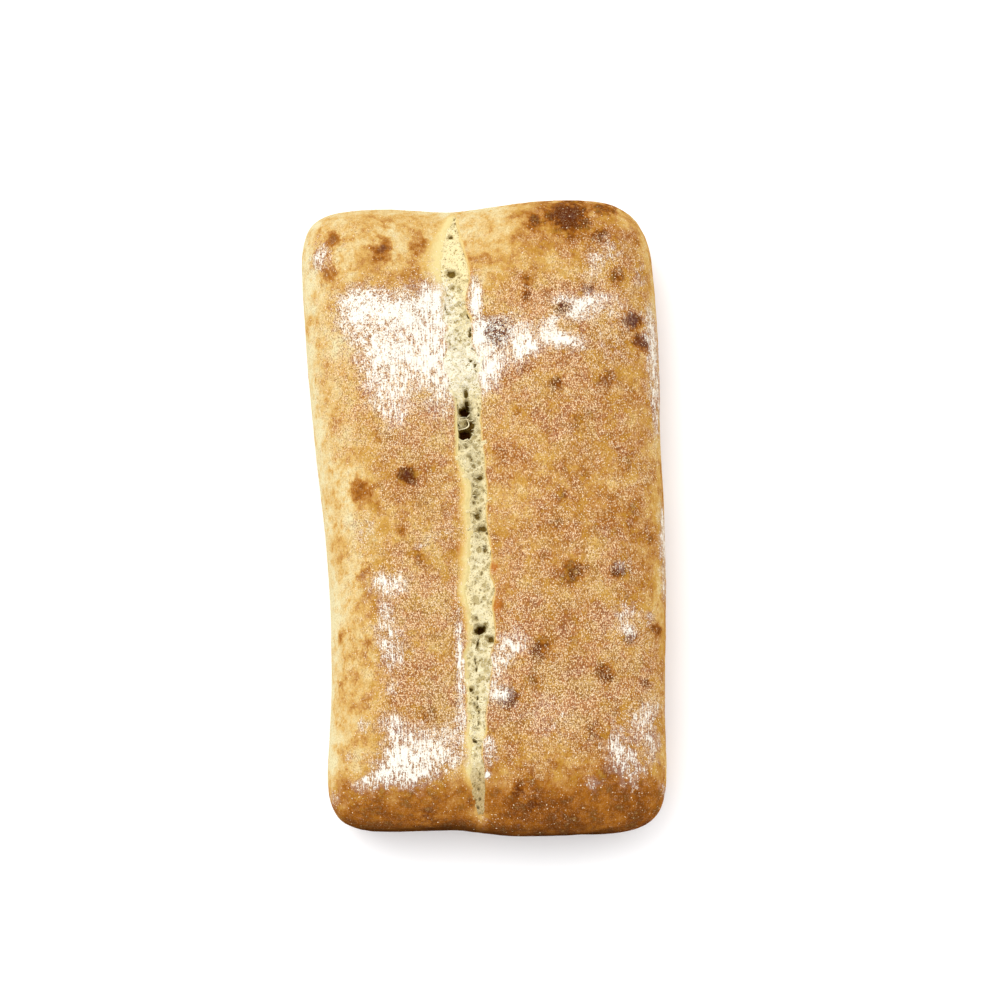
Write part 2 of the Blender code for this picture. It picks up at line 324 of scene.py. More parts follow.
# broad tones: across, along, spread across, spread along, change of bake
bakeTones = (
    (34, 110, 18, 10, 0.12), (22, 94, 14, 8, 0.05), (-34, 108, 26, 14, -0.2), (0, 108, 16, 14, -0.27),
    (50, 98, 16, 12, -0.02), (-28, 12, 12, 12, 0.12), (18, 36, 16, 10, 0.05), (8, 4, 14, 8, -0.06),
    (10, -8, 7, 12, -0.07), (-34, -48, 16, 24, 0.03), (14, -42, 14, 8, 0.11), (50, 40, 12, 16, 0.05),
    (-40, 40, 12, 12, -0.03), (26, -70, 28, 20, 0.17), (-5.5, -114, 1.7, 3.5, -0.3), (-36, -72, 14, 9, 0.07),
    (40, 62, 14, 8, 0.06), (30, 20, 22, 30, 0.03), (34, -10, 16, 24, 0.03),
)

# how dusty the crust is: across, along, spread across, spread along, change
dustTones = (
    (25, 62, 30, 22, 0.45), (-15, 30, 14, 40, 0.25), (-35, 40, 14, 25, 0.15), (20, -60, 30, 40, 0.25),
    (-15, -65, 14, 30, 0.25), (-56, -30, 11, 60, -0.3), (-40, 106, 30, 12, -0.35), (20, 112, 40, 12, -0.3),
    (0, -113, 80, 11, -0.75), (-34, 50, 10, 14, 0.4), (22, -75, 20, 14, 0.25), (-28, -35, 8, 14, 0.2),
    (6, 65, 5, 5, 0.45), (-58, 97, 4, 4, 0.9), (31, 73, 4, 4, 0.4), (-4, 95, 12, 12, -0.35),
)

# flour: across, along, spread across, spread along, thickness, and its lean if it has one
flourPatches = (
    (-45, 77, 6, 5, 1.3), (-41, 68, 7, 6, 0.9), (-31, 74, 7, 5, 0.8), (-40, 70, 3, 3, -0.8),
    (-30, 66, 3, 3, -0.5), (-22, 71, 7, 9, 0.95), (-15, 78, 4, 7, 1), (-33, 59, 8, 5, 0.8),
    (-19, 60, 7, 7, 0.7), (-36, 50, 6, 6, 0.5), (-33, 38, 3.4, 6, 0.75), (-40, 46, 3, 6, 0.5),
    (-24, 44, 8, 8, 0.3), (-8, 55, 5, 5, 0.8), (-2, 79, 1.6, 5, 0.9), (0, 66, 3, 4, 0.7),
    (15.5, 62, 3.4, 4.4, 1.6), (19.5, 58.5, 2.8, 2.6, 1), (12, 55, 4, 3, 0.4), (32, 73.8, 1.7, 1.5, -1),
    (-0.2, 77, 1.3, 5, 1), (4.6, 52, 2.6, 4.6, 1.2), (-3, 52, 5, 6, 0.9), (-15, 47, 4.5, 5, 0.75),
    (-13.5, 38, 3, 6, 0.4), (1, 47, 3, 4, 0.5), (10, 71, 4, 1.4, 0.5, 0.2), (37, 73.2, 4, 2.9, 1.5),
    (31, 76.5, 2.6, 1.5, 0.9), (43, 77, 3, 2.6, 0.5), (30.5, 61, 3.6, 2.3, 1.3, 0.1),
    (25, 65, 2, 3, 1.1, -0.3), (28, 69.5, 2.2, 2, 0.6), (36, 59.5, 2.4, 2.2, 0.8), (50, 75, 6, 5, 0.32),
    (48, 58, 8, 10, 0.22), (6, 65, 3.6, 3.6, 0.6), (-0.8, 63, 1.3, 3.4, 1.1), (44, 91, 3, 4, 0.6, 0.5),
    (51, 96, 3, 4, 0.55, 0.3), (-59, 98, 2.6, 4, 0.85, 0.3), (61, 88, 2, 4, 0.5), (64, 70, 1.8, 5, 0.8),
    (65, 57, 1.8, 7, 0.8), (65, 38, 1.8, 10, 0.65), (66, -12, 1.4, 9, 0.8), (66, -30, 1.3, 6, 0.5),
    (-45, -9, 2.6, 3.5, 0.55), (-20, -13, 8, 1.6, 0.4, 0.4), (-37, -29, 5.5, 3.4, 1),
    (-38, -40, 2.4, 5, 0.75), (-35, -53, 4, 5, 1), (-11, -47, 0.9, 10, 0.8), (-11, -66, 1.3, 11, 0.95),
    (-36, -68, 2.2, 2.2, 0.45), (51, -41, 3.4, 3.4, 0.65), (49, -48, 3, 2.4, 0.45), (52, -49, 1.8, 1.5, 0.8),
    (50, -25, 1.9, 2.6, 0.7), (59, -43, 1.2, 2.2, 0.6, 0.4), (6, -54, 3.8, 4, 0.85, 0.2), (2, -62, 3, 4, 0.5),
    (3, -70, 3.2, 2.6, 1.2), (12, -52, 4, 3, 0.4), (-33, -92, 6, 5, 1.3), (-36, -80, 3, 3.4, 0.8),
    (-14, -85, 5, 5, 0.6, 0.2), (-31, -99, 8, 3.4, 0.9), (-44, -100, 6, 2.6, 0.7, 0.5),
    (-14, -93, 6, 3, 0.6, 0.2), (-27, -84, 3, 3, 0.5), (-22, -90, 4, 4, 0.5), (-47, -80, 2, 2, 0.5),
    (-53, -91, 1.2, 1.2, 0.6), (-59, -105, 1.4, 2.2, 0.5), (-1.2, -88.3, 1.5, 1.8, 1),
    (-0.7, -93, 1.6, 2, 0.8), (-2.1, -99.6, 0.75, 0.85, 2.2), (55, -80, 4, 3, 0.65, 0.5),
    (46, -91, 3.4, 4, 0.65), (50, -97, 4, 3, 0.6), (59, -88, 2.2, 6, 0.6), (50, -103, 3, 3, 0.5),
    (52, -87, 7, 9, 0.2), (20, -80, 9, 9, 0.22), (37, -104, 3, 2, 0.35), (63, -106, 1.2, 1.6, 0.6),
    (-3, -115, 1.5, 1.5, 0.3),
)


def patchSum(across, along, patches):
    total = np.zeros_like(across)
    for acrossAt, alongAt, wide, long, strength, *lean in patches:
        x = across - acrossAt
        y = along - alongAt - sum(lean) * x
        total += strength * np.exp(-((x / wide) ** 2 + (y / long) ** 2) / 2)
    return total


def spotStrength(across, along):
    # full inside a fifth of the radius, gone at 1.7 times it
    total = np.zeros_like(across)
    for acrossAt, alongAt, radius, strength in brownSpots:
        away = np.sqrt((across - acrossAt) ** 2 + (along - alongAt) ** 2) / radius
        total = np.maximum(total, strength * (1 - fade(away, 0.2, 1.5)))
    return total


# meshes and pieces

def shoulderLines(halfSize, count):
    turn = np.linspace(0, np.pi / 2, count + 1)[1:]
    return halfSize - shoulder * (1 - np.sin(turn) ** (2 / loafForm["shoulderPower"]))


def mirroredLines(halfLines):
    return np.concatenate([-halfLines[::-1], halfLines[halfLines > 0]])


def ringOrder(item):
    # the grid's own points or faces as they came, then those of each ring by their angle
    centre = item.co if isinstance(item, bmesh.types.BMVert) else item.calc_center_median()
    if centre.z == 0:
        return item.index
    return 1e6 * (1 - round(centre.z, 4)) + math.atan2(centre.y, centre.x)


def gridWithRings(columns, rows, rings):
    # a flat grid whose outline is extruded down in rings and closed by one face;
    # X and Y run from -1 to 1 and Z falls to -1 at the last ring
    bm = bmesh.new()
    bmesh.ops.create_grid(bm, x_segments=columns - 1, y_segments=rows - 1, size=1)
    edges = [edge for edge in bm.edges if edge.is_boundary]
    for _ in range(rings):
        made = bmesh.ops.extrude_edge_only(bm, edges=edges)["geom"]
        points = [item for item in made if isinstance(item, bmesh.types.BMVert)]
        bmesh.ops.translate(bm, verts=points, vec=(0, 0, -1 / rings))
        edges = [item for item in made if isinstance(item, bmesh.types.BMEdge) and item.is_boundary]
    bmesh.ops.edgeloop_fill(bm, edges=edges)
    bmesh.ops.recalc_face_normals(bm, faces=bm.faces)
    # extruding gives a ring's parts in an order that changes from run to run, so they are sorted
    for items in (bm.verts, bm.faces):
        items.index_update()
        items.sort(key=ringOrder)
        items.index_update()
    return bm


def toMesh(bm, name):
    mesh = bpy.data.meshes.new(name)
    bm.to_mesh(mesh)
    bm.free()
    return mesh


def readAll(items, key, size=1, kind=float):
    # one value of each item of a mesh, or a row of values
    values = np.empty(len(items) * size, dtype=kind)
    items.foreach_get(key, values)
    return values.reshape(-1, size) if size > 1 else values


def writePlaces(mesh, places):
    mesh.vertices.foreach_set("co", np.ascontiguousarray(places).ravel())
    mesh.update()


def keepOnMesh(mesh, **tones):
    for name, values in tones.items():
        layer = mesh.attributes.new(name, "FLOAT", "POINT")
        layer.data.foreach_set("value", np.asarray(values, dtype=np.float32))


def addPiece(mesh, name, material):
    mesh.materials.append(material)
    piece = bpy.data.objects.new(name, mesh)
    bpy.context.scene.collection.objects.link(piece)
    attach(piece, "root")
    return piece


def addSheet(name, material, columns, rows, rings):
    # a piece in the solid's place, with its points' places in the flat grid
    mesh = toMesh(gridWithRings(columns, rows, rings), name)
    piece = addPiece(mesh, name, material)
    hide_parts("loaf")
    return piece, mesh, readAll(mesh.vertices, "co", 3)


def joinCopies(shape, places, name, material):
    # one mesh of many copies of a small shape, each with its own places of the shape's points
    corners = [[vert.index for vert in face.verts] for face in shape.faces]
    size = len(shape.verts)
    shape.free()
    faces = [[corner + number * size for corner in face] for number in range(len(places)) for face in corners]
    mesh = bpy.data.meshes.new(name)
    mesh.from_pydata((places.reshape(-1, 3) * mm).tolist(), [], faces)
    return addPiece(mesh, name, material)


# materials

class Nodes:
    # a short way to add nodes to one material and link them

    def __init__(self, name):
        self.material = bpy.data.materials.new(name)
        self.material.use_nodes = True
        self.tree = self.material.node_tree

    def link(self, source, target):
        if isinstance(source, (int, float, tuple)):
            target.default_value = source
        else:
            self.tree.links.new(source, target)

    def add(self, kind, inputs=None, **settings):
        # each input is a constant or another node's output
        node = self.tree.nodes.new(kind)
        for key, value in settings.items():
            setattr(node, key, value)
        for key, value in (inputs or {}).items():
            self.link(value, node.inputs[key])
        return node

    def finish(self, inputs):
        # sets or links the shader's own sockets
        for key, value in inputs.items():
            self.link(value, self.tree.nodes["Principled BSDF"].inputs[key])
        return self.material

    def attribute(self, name):
        return self.add("ShaderNodeAttribute", attribute_name=name).outputs["Fac"]

    def texture(self, kind, stretch, shift, inputs):
        place = self.add("ShaderNodeTexCoord").outputs["Object"]
        mapping = self.add("ShaderNodeMapping", {"Vector": place, "Scale": stretch, "Location": shift})
        return self.add(kind, {"Vector": mapping.outputs["Vector"], **inputs}).outputs

    def noise(self, scale, detail=2, roughness=0.5, stretch=(1, 1, 1), shift=0):
        inputs = {"Scale": scale, "Detail": detail, "Roughness": roughness}
        return self.texture("ShaderNodeTexNoise", stretch, (shift, shift * 1.7, -shift), inputs)["Fac"]

    def cells(self, scale, stretch, shift):
        # the distance to the nearest of many points, and that point's own random value
        made = self.texture("ShaderNodeTexVoronoi", stretch, (shift, -shift, shift * 0.6), {"Scale": scale})
        return made["Distance"], made["Color"]

    def math(self, operation, *values):
        return self.add("ShaderNodeMath", dict(enumerate(values)), operation=operation).outputs[0]

    def times(self, first, *others):
        for other in others:
            first = self.math("MULTIPLY", first, other)
        return first

    def between(self, value, low, high, start=0, end=1):
        # value from low to high becomes start to end, held there outside it
        inputs = {"Value": value, "From Min": low, "From Max": high, "To Min": start, "To Max": end}
        return self.add("ShaderNodeMapRange", inputs, interpolation_type="SMOOTHSTEP").outputs["Result"]

    def ramp(self, value, stops):
        node = self.add("ShaderNodeValToRGB", {"Fac": value})
        elements = node.color_ramp.elements
        for _ in range(len(stops) - 2):
            elements.new(0.5)
        for element, (place, colour) in zip(elements, stops):
            element.position = place
            element.color = colour
        return node.outputs["Color"]

    def mix(self, share, first, second):
        return self.add("ShaderNodeMix", {"Factor": share, 6: first, 7: second}, data_type="RGBA").outputs[2]

    def sway(self, value, *swings):
        # value pushed up and down by noises that swing about their middle, each followed by its amount
        for noise, amount in zip(swings[::2], swings[1::2]):
            value = self.math("MULTIPLY_ADD", self.math("SUBTRACT", noise, 0.5), amount, value)
        return value

    def relief(self, height, distance, strength, under=None):
        inputs = {"Height": height, "Distance": distance, "Strength": strength}
        if under is not None:
            inputs["Normal"] = under
        return self.add("ShaderNodeBump", inputs).outputs["Normal"]


crustLook = {
    "bakeColours": (
        (0.00, seen(258, 244, 192)),
        (0.18, seen(252, 222, 156)),
        (0.36, seen(238, 190, 107)),
        (0.52, seen(211, 152, 80)),
        (0.68, seen(182, 112, 34)),
        (0.84, seen(146, 82, 22)),
        (1.00, seen(104, 50, 12)),
    ),
    # near-black for the front's lower side: browned crust and painted shade of the underside
    "scorch": seen(30, 9, 2),
    "rust": seen(208, 126, 52),
    "skin": seen(258, 238, 168),
    "drawn": seen(246, 202, 112),
    "golden": seen(215, 160, 60),
    "veil": seen(220, 186, 116),
    "rosy": seen(224, 162, 126),
    "film": seen(226, 196, 184),
    # pale flecks: flour grains and painted glints
    "speckAndGlint": seen(294, 252, 196),
    # the fine wrinkles' pits: darker brown, partly painted shade
    "shadedPit": seen(138, 78, 28),
    "gap": seen(122, 76, 60),
    "bruise": seen(92, 54, 52),
    "flour": seen(284, 278, 262),
}


def crustMaterial():
    n = Nodes("bakedCrust")
    bake, spot, rust, skin = map(n.attribute, ("bake", "spot", "rust", "skin"))
    flour, dust, brushed, scorch = map(n.attribute, ("flour", "dust", "brushed", "scorch"))
    broad = n.noise(60, 3, 0.55, shift=2)
    blots = n.noise(115, 2, 0.6, shift=43)
    patchy = n.noise(150, 3, 0.65, shift=31)
    mottle = n.noise(210, 3, 0.6, shift=5)
    clumps = n.noise(420, 2, 0.6, shift=37)
    grain = n.noise(700, 2, 0.6, (1, 0.7, 1), 9)
    curls = n.noise(760, 1.5, 0.6, (1, 0.7, 1), 21)
    streaks = n.noise(1900, 0.5, 0.5, (1, 0.13, 0.6), 14)
    fine = n.noise(2300, 0, 0.5, (1, 0.72, 1), 12)
    glints, chosen = n.cells(2350, (1, 0.62, 1), 27)
    dots, drawn = n.cells(1600, (1, 0.6, 1), 17)
    # mottling at several sizes, then the brown spots with broken edges
    stir = n.between(bake, 0.55, 0.75, 1, 0.45)
    tone = n.sway(bake, broad, n.times(stir, 0.66), blots, n.times(stir, 0.56), mottle, 0.62, grain, 0.3)
    uneven = n.sway(spot, mottle, 1.5, grain, 0.9)
    tone = n.math("MULTIPLY_ADD", n.between(uneven, -0.05, 1.05), 0.44, tone)
    colour = n.ramp(tone, crustLook["bakeColours"])

    def lay(share, name):
        return n.mix(share, colour, crustLook[name])

    clear = n.times(n.between(n.sway(patchy, clumps, 0.5), 0.5, 0.34), n.between(bake, 0.3, 0.45, 0, 0.6))
    colour = lay(n.times(clear, n.between(bake, 0.8, 0.62), n.between(spot, 0.9, 0.2)), "golden")
    colour = lay(n.between(n.sway(rust, mottle, 0.8, grain, 1), 0.05, 1.15, 0, 0.9), "rust")
    worn = n.sway(skin, mottle, 0.7, grain, 0.5)
    colour = lay(n.between(worn, 0.02, 0.5, 0, 0.75), "drawn")
    colour = lay(n.between(worn, 0.4, 1.05), "skin")
    # flour dust: a thin veil in clusters, its grains in the skin's fine wrinkles, bare pits between them,
    # darkened partly by their colour and partly as painted shade
    loose = n.sway(dust, patchy, 1.6, clumps, 1)
    heavy = n.sway(flour, patchy, 0.9, clumps, 0.8)
    veil = n.mix(n.between(blots, 0.42, 0.58), crustLook["veil"], crustLook["rosy"])
    colour = n.mix(n.between(loose, 0.25, 1.1, 0, 0.46), colour, veil)
    colour = lay(n.between(heavy, 0.12, 0.6, 0, 0.45), "film")
    colour = lay(n.between(n.sway(spot, mottle, 0.8), 0.95, 1.35, 0, 0.85), "bruise")
    wrinkled = n.between(n.math("ADD", loose, flour), 0, 1, 0.22, 0.68)
    wrinkled = n.times(wrinkled, n.between(n.math("ADD", skin, rust), 0.2, 0.9, 1, 0.25))
    # painted shade in the fine wrinkles' pits
    pits = n.times(n.between(fine, 0.54, 0.34), wrinkled)
    colour = lay(pits, "shadedPit")
    often = n.between(n.sway(loose, curls, 0.8), -0.1, 1.2, 0.86, 0.46)
    # pale flecks where dust lies: partly flour grains, partly painted highlights on the skin's tiny wrinkles
    specksAndGlints = n.times(n.between(dots, 0.46, 0.14), n.math("GREATER_THAN", drawn, often))
    specksAndGlints = n.times(specksAndGlints, n.between(loose, -0.2, 0.9, 0.5, 0.95))
    # painted glints: tiny highlights scattered as pale points
    shine = n.times(n.between(glints, 0.62, 0.22), n.math("GREATER_THAN", chosen, 0.47))
    specksAndGlints = n.math("MAXIMUM", specksAndGlints, n.times(shine, n.between(loose, 0.05, 0.95, 0.12, 0.9)))
    colour = lay(specksAndGlints, "speckAndGlint")
    # patches of flour, thinning out in grains, with streaks where the loaf was brushed
    blotchy = n.sway(0, fine, 0.8, curls, 0.9)
    combed = n.sway(0, fine, 0.5, streaks, 1.3)
    texture = n.math("MULTIPLY_ADD", n.math("SUBTRACT", combed, blotchy), brushed, blotchy)
    level = n.math("ADD", heavy, texture)
    cover = n.times(n.between(level, 0.45, 0.87), n.between(flour, 0.02, 0.14))
    colour = lay(n.times(n.between(level, 0.42, 0.18), n.between(heavy, 0.25, 0.6, 0, 0.45)), "gap")
    colour = lay(cover, "flour")
    # painted shade: the front's underside laid over everything in near-black brown, partly browning
    colour = lay(n.times(scorch, n.between(mottle, 0.2, 0.6, 1, 0.92)), "scorch")
    white = n.math("MAXIMUM", specksAndGlints, cover)
    rough = n.math("MAXIMUM", n.between(tone, 0.3, 0.9, 0.7, 0.5), n.times(white, 0.9))
    relief = n.relief(n.math("ADD", mottle, n.times(grain, 0.35)), 0.0008, 0.5)
    relief = n.relief(n.math("SUBTRACT", white, pits), 0.0002, 0.7, relief)
    return n.finish({"Base Color": colour, "Roughness": rough, "Specular IOR Level": 0, "Normal": relief})


crumbLook = {
    "crumb": seen(278, 266, 222),
    "damp": seen(264, 247, 194),
    "toasted": seen(280, 260, 198),
    "recessShade": seen(212, 196, 140),
    "baked": seen(214, 184, 126),
    "poreAndHoleShade": seen(156, 126, 56),
    "bubbleShade": seen(206, 184, 122),
    "deepHoleShade": seen(84, 44, 8),
    "flour": seen(282, 274, 250),
}


def crumbMaterial():
    n = Nodes("openCrumb")
    cavity, sunk, toast = map(n.attribute, ("cavity", "sunk", "toast"))
    flour, baked, bubble = map(n.attribute, ("flour", "baked", "bubble"))
    patches = n.noise(240, 3, 0.6, shift=4)
    clusters = n.noise(330, 2, 0.5, shift=17)
    fine = n.noise(1100, 2.5, 0.65, shift=11)
    finest = n.noise(1900, 0.5, 0.5, shift=23)
    colour = crumbLook["crumb"]

    def lay(share, name):
        return n.mix(share, colour, crumbLook[name])

    colour = lay(n.between(n.sway(patches, finest, 0.8), 0.36, 0.66), "damp")
    colour = lay(n.times(toast, n.between(fine, 0.3, 0.6, 0.5, 1)), "toasted")
    # painted shade: the crumb greys where it lies deep between the threads
    colour = lay(n.between(n.sway(sunk, fine, 2.6), 1.3, 3.4), "recessShade")
    # painted shade inside the cut-open bubbles
    colour = lay(n.between(n.sway(bubble, fine, 2.2), 0.5, 1.5, 0, 0.75), "bubbleShade")
    colour = lay(baked, "baked")
    # small pores in clusters, darkened as painted shade
    pores = n.times(n.between(n.sway(fine, finest, 0.6), 0.44, 0.33), n.between(clusters, 0.43, 0.55))
    pores = n.math("MAXIMUM", pores, n.times(n.between(finest, 0.40, 0.28), 0.6))
    colour = lay(n.times(pores, 0.85), "poreAndHoleShade")
    # painted shade in the holes: olive, then near-black brown where deepest
    ragged = n.sway(cavity, fine, 0.5)
    colour = lay(n.between(ragged, 0.26, 0.42), "poreAndHoleShade")
    colour = lay(n.between(ragged, 0.50, 0.72), "deepHoleShade")
    white = n.times(n.between(n.sway(flour, fine, 2.4), 0.25, 0.6), n.between(ragged, 0.35, 0.2))
    colour = lay(n.times(white, n.between(pores, 0.6, 0.1, 0.15, 1), 0.9), "flour")
    rough = n.between(fine, 0.3, 0.7, 0.95, 0.75)
    relief = n.relief(n.sway(fine, finest, 0.4), 0.0009, 0.8)
    return n.finish({"Base Color": colour, "Roughness": rough, "Specular IOR Level": 0, "Normal": relief})


def threadMaterial():
    n = Nodes("crumbThread")
    share = n.between(n.noise(1100, 2, 0.6, shift=8), 0.35, 0.6)
    colour = n.mix(share, crumbLook["damp"], crumbLook["crumb"])
    return n.finish({"Base Color": colour, "Roughness": 0.85, "Specular IOR Level": 0.2})


flourLook = {"grain": seen(280, 250, 208), "white": seen(284, 278, 262)}


def flourMaterial():
    n = Nodes("flourGrain")
    share = n.between(n.sway(n.attribute("flour"), n.noise(900, 1, 0.5, shift=6), 1.2), 0.15, 0.75)
    colour = n.mix(share, flourLook["grain"], flourLook["white"])
    return n.finish({"Base Color": colour, "Roughness": 0.95, "Specular IOR Level": 0.2})


# the crust

crust = {
    "columns": (5, 18, 5, 22),       # in the trench under the crumb, over a torn edge, beside it, on the lobe
    "lipFrom": 0.9,                  # the torn edge's columns reach this far in and out
    "lipUntil": 1.9,
    "besideUntil": 10,
    "shoulderColumns": 46,
    "middleRows": 120,               # in each half
    "shoulderRows": 48,
    "sideRings": 22,
    "followOver": 9,                 # columns follow the ragged edge less and less over this
    "trenchDepth": 9.5,
    "skinDepth": 0.7,                # the left lip sinks this far before it tears
    "skinShallow": (102, 15, 0.8),   # and less near the far end
    "lipRise": 0.3,
    "overhang": 0.45,                # the right lip leans out over the crumb
    "roughness": 0.11,
    "relief": ((0.9, (4.5, 6, 4.5), 0), (0.6, (1.9, 2.8, 1.9), 5.3), (1.5, (11, 15, 9), 9.1)),
    "spotRise": 0.25,
}

# change of bake towards the outline: side, where it starts, over how much, change; paler at the left and far
# end, darker at the front, partly baking and partly painted light and shade
sideTones = (
    ("left", 0.82, 0.16, -0.20), ("far", 0.84, 0.14, -0.12),
    ("front", 0.38, 0.42, 0.28), ("front", 0.85, 0.15, 0.08),
)

crustTones = {
    "bake": 0.51,
    # lower bake on the left: partly less baked, partly painted light falling from that side
    "leftBakeAndLight": 0.04,                # less than this on the left
    "leftPalingAndLight": 0.22,
    "rightPaling": 0.14,
    "sideBrown": 0.34,               # the sides are browner again towards the base
    # how dark the front's lower side gets: browning and painted shade
    "scorch": 0.80,
    "dust": 0.42,
    "dustAtEdge": 0.30,
    "floured": 1.1,
    "flourOnSides": 0.14,
    "brushed": 0.85,
    # the upper left of the big patch lies in blotches, the rest was brushed along the loaf
    "blotchy": ((-42, 76, 11, 16, 1), (6, 65, 5, 6, 0.9), (32, 68, 7, 8, 0.8)),
}


def crustColumns():
    half = slash["nominalHalf"]
    stops = (half - crust["lipFrom"], half + crust["lipUntil"], crust["besideUntil"], halfWidth - shoulder)
    lines, start = [np.zeros(1)], 0
    for stop, count in zip(stops, crust["columns"]):
        lines.append(np.linspace(start, stop, count + 1)[1:])
        start = stop
    return mirroredLines(np.concatenate([*lines, shoulderLines(halfWidth, crust["shoulderColumns"])]))


def crustRows():
    middleRows = np.linspace(0, halfLength - shoulder, crust["middleRows"] + 1)
    return mirroredLines(np.concatenate([middleRows, shoulderLines(halfLength, crust["shoulderRows"])]))


def followEdge(column, row):
    # columns near the slash move so that the same ones stay on its torn edge
    half, far = slash["nominalHalf"], np.abs(column)
    wanted = raggedEdge(row, np.where(column < 0, -1, 1))
    share = np.where(far < half, far / half, 1 - ease((far - half) / crust["followOver"]))
    return np.sign(column) * (far + (wanted - half) * share)


def trench(column, row):
    # how far the crust drops towards and in the slash, from its nominal columns
    half, deep = slash["nominalHalf"], crust["trenchDepth"]
    skinDepth = crust["skinDepth"] * (1 - bumps(row, [crust["skinShallow"]]))
    left = skinDepth * ease((column + half + 1.4) / 1.6) + deep * ease((column + half - 0.3) / 0.6)
    right = deep * ease((half + 0.25 - column) / 0.55) - crust["lipRise"] * bump(column, half + 0.8, 0.5)
    return np.where(column < 0, left, right) * slashRunOut(row)


def makeCrust():
    columns, rows = crustColumns(), crustRows()
    piece, mesh, start = addSheet("crust", crustMaterial(), len(columns), len(rows), crust["sideRings"])
    nominalColumn = np.interp(start[:, 0], np.linspace(-1, 1, len(columns)), columns)
    row = np.interp(start[:, 1], np.linspace(-1, 1, len(rows)), rows)
    drop = -start[:, 2]
    onTop = drop == 0
    column = followEdge(nominalColumn, row)
    turn = drop * np.pi / 2
    power = 2 / loafForm["basePower"]
    inset = loafForm["baseInset"] * (1 - np.abs(np.cos(turn)) ** power)
    across, along, nearest = plan(column, row, inset)
    fall = fallOff(nearest)
    crown = crownHeight(across, along) - trench(nominalColumn, row) * ease(fall * 2)
    height = np.where(onTop, rim + (crown - rim) * fall, rim * (1 - np.sin(turn) ** power))
    lean = crust["overhang"] * bump(nominalColumn, slash["nominalHalf"] + 0.35, 0.5) * slashRunOut(row)
    places = np.stack([across - lean, along, height], axis=1) - middle
    writePlaces(mesh, places)
    # the skin's own small relief, along its normals and fading out on the flat base
    normals = readAll(mesh.vertices, "normal", 3)
    clear = np.abs(nominalColumn) > slash["nominalHalf"] + 0.4
    standing = spotStrength(places[:, 0], places[:, 1]) * onTop
    amount = crust["roughness"] * noises(places, crust["relief"]) * ease(places[:, 2] / 4)
    amount = (amount + crust["spotRise"] * standing) * clear
    writePlaces(mesh, (places + normals * amount[:, None]) * mm)
    keepCrustTones(mesh, places, onTop, nearest, column, row)
    mesh.shade_smooth()
    return piece


def keepCrustTones(mesh, places, onTop, nearest, column, row):
    x, y, z = places.T
    near = {
        "left": edgeCloseness(np.minimum(column, 0), halfWidth),
        "right": edgeCloseness(np.maximum(column, 0), halfWidth),
        "front": edgeCloseness(np.minimum(row, 0), halfLength),
        "far": edgeCloseness(np.maximum(row, 0), halfLength),
    }
    bake = crustTones["bake"] - crustTones["leftBakeAndLight"] * fade(-x, -10, 40)
    corners = (1 - 0.75 * fade(y, 84, 22)) * (1 - 0.8 * fade(-y, 88, 16))
    # paler towards the left outline than the right: partly less baked, partly painted light from the left
    bake -= crustTones["leftPalingAndLight"] * fade(near["left"], 0.30, 0.45) * corners
    rightCorner = 1 - 0.5 * fade(-y, 95, 12)
    bake -= crustTones["rightPaling"] * fade(near["right"], 0.80, 0.18) * rightCorner
    for side, start, over, change in sideTones:
        bake += change * fade(near[side], start, over)
    bake += patchSum(x, y, bakeTones)
    # the sides stay pale half way down and brown again towards the base, the front end most of all, where the
    # darkest part is painted shade of its underside
    side = bake + crustTones["sideBrown"] * fade(-z / rim, -0.55, 0.5)
    atFront = fade(-y, 103, 12) * (1 - fade(np.abs(x + 5), 42, 20))
    uneven = 0.16 * softNoise(places, (12, 9, 5), 8.3)
    # painted shade: near-black on the front side below the rim and a ragged strip of top above it, partly a
    # browned base edge, mostly the underside's own shade
    scorch = np.where(onTop, ease((34.5 - z) / 10 + 1.8 * uneven), ease((z + 2) / 24 + uneven))
    scorch *= crustTones["scorch"] * atFront
    bake = np.where(onTop, bake, side) + noises(places, ((0.05, 14, 2.2), (0.03, 6, 7.2)))
    # skin that stretched beside the slash is pale
    offLine = x + middle[0] - slashLine(y + middle[1])
    width = readTable(skinWidths, y, 1)
    leftSkin = ease((offLine + tornEdge(y, -1) + 2.3 * width) / (2.1 * width))
    leftSkin *= 1 - 0.9 * fade(-y, 98, 9)
    rightSkin = 0.7 * ease((tornEdge(y, 1) + 0.6 - offLine) / 0.7) * (1 - fade(-y, 90, 9))
    skin = np.where(offLine < 0, leftSkin, rightSkin) * slashRunOut(y) * onTop
    spots = spotStrength(x, y)
    rust = np.clip(patchSum(x, y, rustSpots), 0, 1) * onTop
    flour = 1 - np.exp(-crustTones["floured"] * patchSum(x, y, flourPatches))
    onSides = crustTones["flourOnSides"] * (1 - fade(-y, 96, 12)) + 0.2 * softNoise(places, (9, 9, 5), 4.4)
    flour = np.maximum(np.where(onTop, flour, onSides), 0)
    dust = crustTones["dust"] + 0.25 * softNoise(places, 16, 1.3) - 0.5 * spots + patchSum(x, y, dustTones)
    dust -= crustTones["dustAtEdge"] * fade(nearest, 0.75, 0.25)
    keepOnMesh(
        mesh, bake=bake - 0.25 * skin, skin=skin, scorch=scorch, spot=spots * onTop * (1 - skin), rust=rust,
        flour=flour * (1 - 0.3 * skin), dust=dust * (1 - 0.7 * skin) - 0.5 * rust,
        brushed=crustTones["brushed"] * (1 - patchSum(x, y, crustTones["blotchy"])))


crustPiece = makeCrust()
print("crust made", len(crustPiece.data.polygons))


# the crumb that shows in the slash

